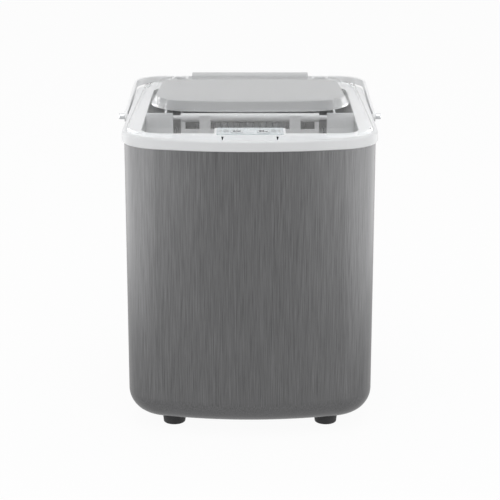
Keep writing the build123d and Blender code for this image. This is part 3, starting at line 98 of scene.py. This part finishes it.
# Studio, in metres and watts: light from all round, the rays that see the backdrop, floor and lamps
WHITE = (1.0, 1.0, 1.0, 1.0)
AMBIENT = 0.52
BACKDROP = 1.0
SEEN_KINDS = ("Is Camera Ray", "Is Glossy Ray", "Is Transmission Ray")
SCATTER_LIMIT = 0.5
FLOOR_HALF = 12.0
FLOOR_COLOUR = (0.86, 0.86, 0.86)
FLOOR_ROUGH = 0.9
FLOOR_GLOW = 0.95
SIDE_LAMP_OUT = 0.45
SIDE_LAMP_DEEP = -0.2
SIDE_LAMP_HIGH = 0.2
SIDE_LAMP_AIM = (0.0, -0.2, 0.16)
SIDE_LAMP_SIZE = (1.4, 0.4)
SIDE_LAMP_POWER = 3.2
FRONT_LAMP_PLACE = (0.0, -1.0, 1.5)
FRONT_LAMP_AIM = (0.0, 0.0, 0.27)
FRONT_LAMP_SIZE = (1.2, 1.2)
FRONT_LAMP_POWER = 6.5
TOP_LAMP_PLACE = (0.0, 0.1, 1.9)
TOP_LAMP_AIM = (0.0, 0.0, 0.2)
TOP_LAMP_SIZE = (1.4, 1.4)
TOP_LAMP_POWER = 8.5

# Camera: place in metres, tilt down in degrees, lens and sensor in millimetres
CAMERA_PLACE = (0.0, -1.5, 0.5567)
CAMERA_TILT = 15.7755
CAMERA_LENS = 117.456
CAMERA_SENSOR = 36.0


# Node helpers: owner is a material or the world
def new_material(name, colour, rough, metal=0.0, **sockets):
    """Material with one principled shader, its plain values set on the shader's own sockets."""
    mat = bpy.data.materials.new(name)
    mat.use_nodes = True
    shader = mat.node_tree.nodes["Principled BSDF"]
    shader.inputs["Base Color"].default_value = (*colour, 1.0)
    shader.inputs["Roughness"].default_value = rough
    shader.inputs["Metallic"].default_value = metal
    for socket, value in sockets.items():
        shader.inputs[socket.replace("_", " ")].default_value = value
    mat.diffuse_color = (*colour, 1.0)
    return mat


def noise(mat, scale, detail, stretch=(1.0, 1.0, 1.0), rough=0.55):
    """Noise in the object's own space, in cycles per metre, stretched along its axes."""
    tree = mat.node_tree
    place = tree.nodes.new("ShaderNodeTexCoord")
    shape = tree.nodes.new("ShaderNodeMapping")
    shape.inputs["Scale"].default_value = [scale * s for s in stretch]
    grain = tree.nodes.new("ShaderNodeTexNoise")
    grain.inputs["Scale"].default_value = 1.0
    grain.inputs["Detail"].default_value = detail
    grain.inputs["Roughness"].default_value = rough
    tree.links.new(place.outputs["Object"], shape.inputs["Vector"])
    tree.links.new(shape.outputs["Vector"], grain.inputs["Vector"])
    return grain.outputs["Fac"]


def ramp(mat, value, low, high, start=0.3, end=0.7):
    """Colour that runs from low to high as the value runs from start to end."""
    tree = mat.node_tree
    band = tree.nodes.new("ShaderNodeValToRGB")
    band.color_ramp.elements[0].position = start
    band.color_ramp.elements[0].color = (*low, 1.0)
    band.color_ramp.elements[1].position = end
    band.color_ramp.elements[1].color = (*high, 1.0)
    tree.links.new(value, band.inputs["Fac"])
    return band.outputs["Color"]


def spread(mat, value, low, high, start=0.3, end=0.7):
    """Number that runs from low to high as the value runs from start to end."""
    tree = mat.node_tree
    band = tree.nodes.new("ShaderNodeMapRange")
    band.inputs["From Min"].default_value = start
    band.inputs["From Max"].default_value = end
    band.inputs["To Min"].default_value = low
    band.inputs["To Max"].default_value = high
    tree.links.new(value, band.inputs["Value"])
    return band.outputs["Result"]


def calculate(owner, operation, first, second=0.0):
    """Result of one operation on an output and a second value, which is an output or a number."""
    tree = owner.node_tree
    node = tree.nodes.new("ShaderNodeMath")
    node.operation = operation
    tree.links.new(first, node.inputs[0])
    if isinstance(second, float):
        node.inputs[1].default_value = second
    else:
        tree.links.new(second, node.inputs[1])
    return node.outputs["Value"]


def axis_part(mat, output, axis):
    """One axis of a texture coordinate of the object, such as its place or its normal."""
    tree = mat.node_tree
    place = tree.nodes.new("ShaderNodeTexCoord")
    split = tree.nodes.new("ShaderNodeSeparateXYZ")
    tree.links.new(place.outputs[output], split.inputs["Vector"])
    return split.outputs[axis]


def drive(mat, socket, output):
    """Link an output to a socket of the principled shader."""
    mat.node_tree.links.new(output, mat.node_tree.nodes["Principled BSDF"].inputs[socket])


def bump(mat, value, strength):
    """Relief on the principled shader from a value."""
    tree = mat.node_tree
    relief = tree.nodes.new("ShaderNodeBump")
    relief.inputs["Strength"].default_value = strength
    relief.inputs["Distance"].default_value = RELIEF_DEPTH
    tree.links.new(value, relief.inputs["Height"])
    drive(mat, "Normal", relief.outputs["Normal"])


def shade(colour, factor):
    """Colour made lighter or darker by a factor."""
    return tuple(min(1.0, c * factor) for c in colour)


# Finishes
def moulded(name, colour, rough, vary, grain, relief, **sockets):
    """Moulded plastic: faint cloudy tone, fine texture, slightly uneven gloss."""
    mat = new_material(name, colour, rough, **sockets)
    cloud = noise(mat, CLOUD_SCALE, detail=2.0)
    drive(mat, "Base Color", ramp(mat, cloud, shade(colour, 1 - vary), shade(colour, 1 + vary)))
    fine = noise(mat, grain, detail=2.0)
    drive(mat, "Roughness", spread(mat, fine, *[rough * part for part in MOULDED_GLOSS]))
    bump(mat, fine, relief)
    return mat


def streaked(name, colour, rough, metal, stretch, scale, vary, relief=0.06):
    """Bare or painted metal: fine marks, drawn out along the axis with the smallest stretch."""
    mat = new_material(name, colour, rough, metal)
    lines = noise(mat, scale, detail=5.0, stretch=stretch, rough=0.65)
    tone = ramp(mat, lines, shade(colour, 1 - vary), shade(colour, 1 + vary), start=0.25, end=0.75)
    drive(mat, "Base Color", tone)
    drive(mat, "Roughness", spread(mat, lines, *[rough * part for part in BRUSHED_GLOSS]))
    bump(mat, lines, relief)
    return mat


def clear_lid(name, colour):
    """Clear moulding: see-through faces, milky where its edges and side bevels turn away."""
    mat = new_material(name, colour, 0.0, Transmission_Weight=1.0, IOR=LID_IOR)
    flat_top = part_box("top_frame")[1][2] + LID_FLAT_RISE
    sideways = calculate(mat, "ABSOLUTE", axis_part(mat, "Normal", "X"))
    bevels = spread(mat, sideways, LID_VEIL, LID_BEVEL_VEIL, *BEVEL_LEAN)
    upright = calculate(mat, "ABSOLUTE", axis_part(mat, "Normal", "Z"))
    steep = spread(mat, upright, 1.0, 0.0, *EDGE_LEAN)
    height = axis_part(mat, "Object", "Z")
    low = spread(mat, height, 1.0, 0.0, flat_top - EDGE_FULL_DROP, flat_top - EDGE_NONE_DROP)
    edge = calculate(mat, "MULTIPLY", calculate(mat, "MULTIPLY", steep, low), LID_EDGE_VEIL)
    drive(mat, "Alpha", calculate(mat, "MAXIMUM", bevels, edge))
    haze = noise(mat, HAZE_SCALE, detail=1.0)
    drive(mat, "Roughness", spread(mat, haze, 0.0, HAZE_ROUGH, *HAZE_BAND))
    return mat


# Materials: one for each slot of the record, three for nodes that differ from their slot, two for prints;
# the dark print also serves as painted shade in the screw recesses
body_grey = streaked(
    "brushed_grey", (0.125, 0.125, 0.127), rough=0.4, metal=0.9,
    stretch=(1.0, 1.0, 0.012), scale=2400.0, vary=0.45,
)
white = moulded("white_gloss", (0.8, 0.808, 0.816), rough=0.34, vary=0.015, grain=1200.0, relief=0.03)
clear = clear_lid("clear_plastic", (0.94, 0.955, 0.965))
grey = moulded("grey_plastic", (0.41, 0.415, 0.42), rough=0.42, vary=0.03, grain=1400.0, relief=0.06)
overlay = moulded("panel_overlay", (0.62, 0.68, 0.71), rough=0.2, vary=0.02, grain=1800.0, relief=0.02)
button = moulded("button_plastic", (0.6, 0.63, 0.65), rough=0.35, vary=0.02, grain=1800.0, relief=0.04)
lens = moulded("lens_plastic", (0.05, 0.06, 0.065), rough=0.12, vary=0.05, grain=1500.0, relief=0.01)
liner = moulded("liner_plastic", (0.86, 0.875, 0.885), rough=0.28, vary=0.02, grain=700.0, relief=0.03)
# Chamber plastic, set far darker than its own mid-grey: painted shade for the deep chamber
chamber_painted_shade = moulded("chamber_grey", (0.1, 0.104, 0.108), rough=0.32, vary=0.04, grain=700.0, relief=0.04)
dark = moulded("dark_plastic", (0.05, 0.05, 0.053), rough=0.5, vary=0.1, grain=1600.0, relief=0.16)
rubber = moulded("rubber_black", (0.016, 0.016, 0.017), rough=0.62, vary=0.15, grain=2200.0, relief=0.2)
steel = streaked(
    "steel", (0.55, 0.56, 0.57), rough=0.34, metal=1.0,
    stretch=(0.02, 1.0, 1.0), scale=900.0, vary=0.1,
)
enamel = moulded("black_enamel", (0.02, 0.02, 0.021), rough=0.28, vary=0.1, grain=500.0, relief=0.08)
copper = streaked(
    "copper", (0.72, 0.36, 0.2), rough=0.3, metal=1.0,
    stretch=(1.0, 1.0, 1.0), scale=160.0, vary=0.16,
)
fins = streaked(
    "fin_aluminium", (0.72, 0.73, 0.74), rough=0.32, metal=1.0,
    stretch=(1.0, 1.0, 0.05), scale=900.0, vary=0.08,
)
plated = streaked(
    "evaporator_metal", (0.72, 0.73, 0.74), rough=0.16, metal=1.0,
    stretch=(1.0, 1.0, 1.0), scale=300.0, vary=0.05, relief=0.02,
)
hose = moulded("hose_rubber", (0.62, 0.64, 0.65), rough=0.36, vary=0.04, grain=600.0, relief=0.04)
foam = moulded("foam", (0.7, 0.66, 0.55), rough=0.85, vary=0.1, grain=500.0, relief=0.5)
board = moulded("circuit_board", (0.03, 0.16, 0.07), rough=0.4, vary=0.2, grain=900.0, relief=0.05)

# Bail's white plastic, made lighter than the rim's white as painted light that keeps its arms from going
# grey in their shade
bail_painted_light = moulded("white_bail_painted_light", (0.9, 0.905, 0.91), rough=0.4, vary=0.015, grain=1200.0, relief=0.03)
grip = moulded("soft_grip", (0.56, 0.565, 0.57), rough=0.5, vary=0.03, grain=1400.0, relief=0.12)
chamber_wall = moulded("pale_chamber", (0.42, 0.43, 0.44), rough=0.32, vary=0.03, grain=700.0, relief=0.04)

# Dark print, also used as painted shade in the screw recesses
print_and_shade_ink = moulded(
    "dark_print_and_shade", (0.03, 0.034, 0.038), rough=0.8, vary=0.05, grain=1500.0, relief=0.02,
    Specular_IOR_Level=0.0,
)
trim = moulded("pale_print", (0.36, 0.4, 0.43), rough=0.35, vary=0.03, grain=1500.0, relief=0.02)

slot_finishes = {
    "brushed_grey": body_grey,
    "white_gloss": white,
    "clear_plastic": clear,
    "grey_plastic": grey,
    "panel_overlay": overlay,
    "button_plastic": button,
    "lens_plastic": lens,
    "liner_plastic": liner,
    "chamber_grey": chamber_painted_shade,
    "dark_plastic": dark,
    "rubber_black": rubber,
    "steel": steel,
    "black_enamel": enamel,
    "copper": copper,
    "fin_aluminium": fins,
    "evaporator_metal": plated,
    "hose_rubber": hose,
    "foam": foam,
    "circuit_board": board,
}
node_finishes = {"handle_bail": bail_painted_light, "handle_grip": grip, "chamber_liner": chamber_wall}
for part in frame["record"]["subparts"]:
    surface = nodes[part["node"]].data.materials
    surface.clear()
    surface.append(node_finishes.get(part["node"], slot_finishes[part["material_slot"]]))


# Small details: prints, and painted shade in the screw recesses, as thin closed plates that face up, front
# or rear
facing_front = Matrix(((1, 0, 0, 0), (0, 0, -1, 0), (0, 1, 0, 0), (0, 0, 0, 1)))
facing_rear = Matrix(((-1, 0, 0, 0), (0, 0, 1, 0), (0, 1, 0, 0), (0, 0, 0, 1)))


def bar(left, low, right, high):
    """Corners of an upright rectangle in millimetres."""
    return [(left, low), (right, low), (right, high), (left, high)]


def frame_bars(left, low, right, high, line):
    """Four bars that make a rectangular frame."""
    return [
        bar(left, low, right, low + line),
        bar(left, high - line, right, high),
        bar(left, low + line, left + line, high - line),
        bar(right - line, low + line, right, high - line),
    ]


def ring(inner, outer, start, end, steps=36):
    """Part of a flat ring in millimetres, its angles in degrees."""
    turns = [math.radians(start + (end - start) * step / steps) for step in range(steps + 1)]
    outside = [(outer * math.cos(turn), outer * math.sin(turn)) for turn in turns]
    inside = [(inner * math.cos(turn), inner * math.sin(turn)) for turn in reversed(turns)]
    return outside + inside


def top_of(node):
    """Place in the middle of a node's top, facing up."""
    low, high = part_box(node)
    return Matrix.Translation(((low[0] + high[0]) / 2, (low[1] + high[1]) / 2, high[2]))


def laid(marks, place):
    """Shapes of several outlines that lie in one plane."""
    return [(mark, place) for mark in marks]


def plates(name, shapes, height, mat, body):
    """Thin closed plates on one body; each shape is an outline and the place of its plane."""
    mesh = bpy.data.meshes.new(name)
    work = bmesh.new()
    for outline, place in shapes:
        low = [work.verts.new(place @ Vector((u * MM, v * MM, 0))) for u, v in outline]
        high = [work.verts.new(place @ Vector((u * MM, v * MM, height))) for u, v in outline]
        work.faces.new(high)
        work.faces.new(list(reversed(low)))
        for i in range(len(outline)):
            j = (i + 1) % len(outline)
            work.faces.new((low[i], low[j], high[j], high[i]))
    bmesh.ops.recalc_face_normals(work, faces=work.faces)
    work.to_mesh(mesh)
    work.free()
    mesh.materials.append(mat)
    piece = bpy.data.objects.new(name, mesh)
    scene.collection.objects.link(piece)
    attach(piece, body)


# Power sign: a ring that is open at the top, and a stem in its gap
power_marks = [ring(POWER_INNER, POWER_OUTER, 90 + POWER_GAP, 450 - POWER_GAP), bar(*POWER_STEM)]
power_shapes = laid(power_marks, top_of("power_button"))
plates("power_icon", power_shapes, PRINT, print_and_shade_ink, "power_button")

# Size sign: the outline of a large ice cube, and a small one
select_marks = frame_bars(*LARGE_CUBE, LARGE_CUBE_LINE) + [bar(*SMALL_CUBE)]
select_shapes = laid(select_marks, top_of("select_button"))
plates("select_icon", select_shapes, PRINT, print_and_shade_ink, "select_button")

# Border line of the control strip
strip_low, strip_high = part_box("control_panel")
border_half = (strip_high[0] - strip_low[0]) / 2 / MM - BORDER_INSET
border_deep = (strip_high[1] - strip_low[1]) / 2 / MM - BORDER_INSET
border_marks = frame_bars(-border_half, -border_deep, border_half, border_deep, BORDER_LINE)
border_shapes = laid(border_marks, top_of("control_panel"))
plates("strip_border", border_shapes, PRINT, trim, "housing")

# Dashes beside the lamps, in place of words
lens_low, lens_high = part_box("indicator_lenses")
dash_shapes = []
for row in (lens_low[1] + LENS_RADIUS, lens_high[1] - LENS_RADIUS):
    place = Matrix.Translation((0, row, strip_high[2]))
    for side in (-1, 1):
        inner, outer = sorted((side * DASH_NEAR, side * DASH_FAR))
        dash_shapes.append((bar(inner, -DASH_HALF, outer, DASH_HALF), place))
plates("strip_dashes", dash_shapes, PRINT, print_and_shade_ink, "housing")

# Ticks on the bowed front edge of the lid
lid_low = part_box("lid")[0]
tick_shapes = []
for side in (-1, 1):
    across = side * TICK_ACROSS * MM
    turn = math.asin(across / FRONT_BOW)
    depth = lid_low[1] + FRONT_BOW * (1 - math.cos(turn))
    place = Matrix.Translation((across, depth, lid_low[2] + TICK_RISE * MM)) @ Matrix.Rotation(turn, 4, "Z")
    tick_shapes.append((TICK, place @ facing_front))
plates("lid_ticks", tick_shapes, PRINT, print_and_shade_ink, "lid")

# Cross recesses of the six screws of the rear panel, as painted shade: dark plates on the screw heads
screw_low, screw_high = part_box("panel_screws")
recess_shade_cross = [
    bar(-CROSS_REACH, -CROSS_HALF, CROSS_REACH, CROSS_HALF),
    bar(-CROSS_HALF, CROSS_HALF, CROSS_HALF, CROSS_REACH),
    bar(-CROSS_HALF, -CROSS_REACH, CROSS_HALF, -CROSS_HALF),
]
screw_columns = (screw_low[0] + SCREW_RADIUS, screw_high[0] - SCREW_RADIUS)
screw_rows = (screw_low[2] + SCREW_RADIUS, (screw_low[2] + screw_high[2]) / 2, screw_high[2] - SCREW_RADIUS)
recess_shade_shapes = []
for column in screw_columns:
    for row in screw_rows:
        recess_shade_shapes += laid(recess_shade_cross, Matrix.Translation((column, screw_high[1], row)) @ facing_rear)
plates("screw_recess_painted_shade", recess_shade_shapes, RECESS_SHADE, print_and_shade_ink, "housing")


# Studio: pale floor and white backdrop, also in reflections and through the lid, and soft lamps
def seen_rays(owner):
    """One for a camera, glossy or transmission ray that met no matt surface before, and zero for others."""
    path = owner.node_tree.nodes.new("ShaderNodeLightPath")
    seen = path.outputs[SEEN_KINDS[0]]
    for kind in SEEN_KINDS[1:]:
        seen = calculate(owner, "MAXIMUM", seen, path.outputs[kind])
    direct = calculate(owner, "LESS_THAN", path.outputs["Diffuse Depth"], SCATTER_LIMIT)
    return calculate(owner, "MULTIPLY", seen, direct)


def mixed_surface(tree, share, first, second, target):
    """Surface of an output node as a mix of two shaders, by the share of the second."""
    choice = tree.nodes.new("ShaderNodeMixShader")
    tree.links.new(share, choice.inputs["Fac"])
    tree.links.new(first, choice.inputs[1])
    tree.links.new(second, choice.inputs[2])
    tree.links.new(choice.outputs["Shader"], target.inputs["Surface"])


def white_light(tree, kind, strength):
    """White background or emission shader of a strength."""
    light = tree.nodes.new(kind)
    light.inputs["Color"].default_value = WHITE
    light.inputs["Strength"].default_value = strength
    return light.outputs[0]


def soft_light(name, place, aim, size, power):
    """Rectangular area light that looks at a point."""
    data = bpy.data.lights.new(name, "AREA")
    data.shape = "RECTANGLE"
    data.size, data.size_y = size
    data.energy = power
    lamp = bpy.data.objects.new(name, data)
    lamp.location = place
    lamp.rotation_euler = (Vector(aim) - Vector(place)).to_track_quat("-Z", "Y").to_euler()
    scene.collection.objects.link(lamp)
    return lamp


world = bpy.data.worlds.new("studio")
scene.world = world
world.use_nodes = True
sky = world.node_tree
sky.nodes.clear()
ambient = white_light(sky, "ShaderNodeBackground", AMBIENT)
backdrop = white_light(sky, "ShaderNodeBackground", BACKDROP)
mixed_surface(sky, seen_rays(world), ambient, backdrop, sky.nodes.new("ShaderNodeOutputWorld"))

floor_mesh = bpy.data.meshes.new("floor")
sheet = bmesh.new()
bmesh.ops.create_grid(sheet, x_segments=1, y_segments=1, size=FLOOR_HALF)
sheet.to_mesh(floor_mesh)
sheet.free()
floor = bpy.data.objects.new("floor", floor_mesh)
scene.collection.objects.link(floor)
pale = new_material("pale_floor", FLOOR_COLOUR, FLOOR_ROUGH, Specular_IOR_Level=0.0)
ground = pale.node_tree
paint = ground.nodes["Principled BSDF"].outputs["BSDF"]
glow = white_light(ground, "ShaderNodeEmission", BACKDROP)
glow_share = calculate(pale, "MULTIPLY", seen_rays(pale), FLOOR_GLOW)
mixed_surface(ground, glow_share, paint, glow, ground.nodes["Material Output"])
floor_mesh.materials.append(pale)

# The side lamps act on gloss alone
for lamp_name, side in (("left_light", -1), ("right_light", 1)):
    lamp_place = (side * SIDE_LAMP_OUT, SIDE_LAMP_DEEP, SIDE_LAMP_HIGH)
    lamp = soft_light(lamp_name, lamp_place, SIDE_LAMP_AIM, SIDE_LAMP_SIZE, SIDE_LAMP_POWER)
    lamp.visible_diffuse = False
soft_light("front_light", FRONT_LAMP_PLACE, FRONT_LAMP_AIM, FRONT_LAMP_SIZE, FRONT_LAMP_POWER)
soft_light("top_light", TOP_LAMP_PLACE, TOP_LAMP_AIM, TOP_LAMP_SIZE, TOP_LAMP_POWER)

# Camera at the photograph's viewing angle
camera_data = bpy.data.cameras.new("camera")
camera_data.sensor_width = CAMERA_SENSOR
camera_data.lens = CAMERA_LENS
camera = bpy.data.objects.new("camera", camera_data)
camera.location = CAMERA_PLACE
camera.rotation_euler = (math.radians(90 - CAMERA_TILT), 0.0, 0.0)
scene.collection.objects.link(camera)
scene.camera = camera
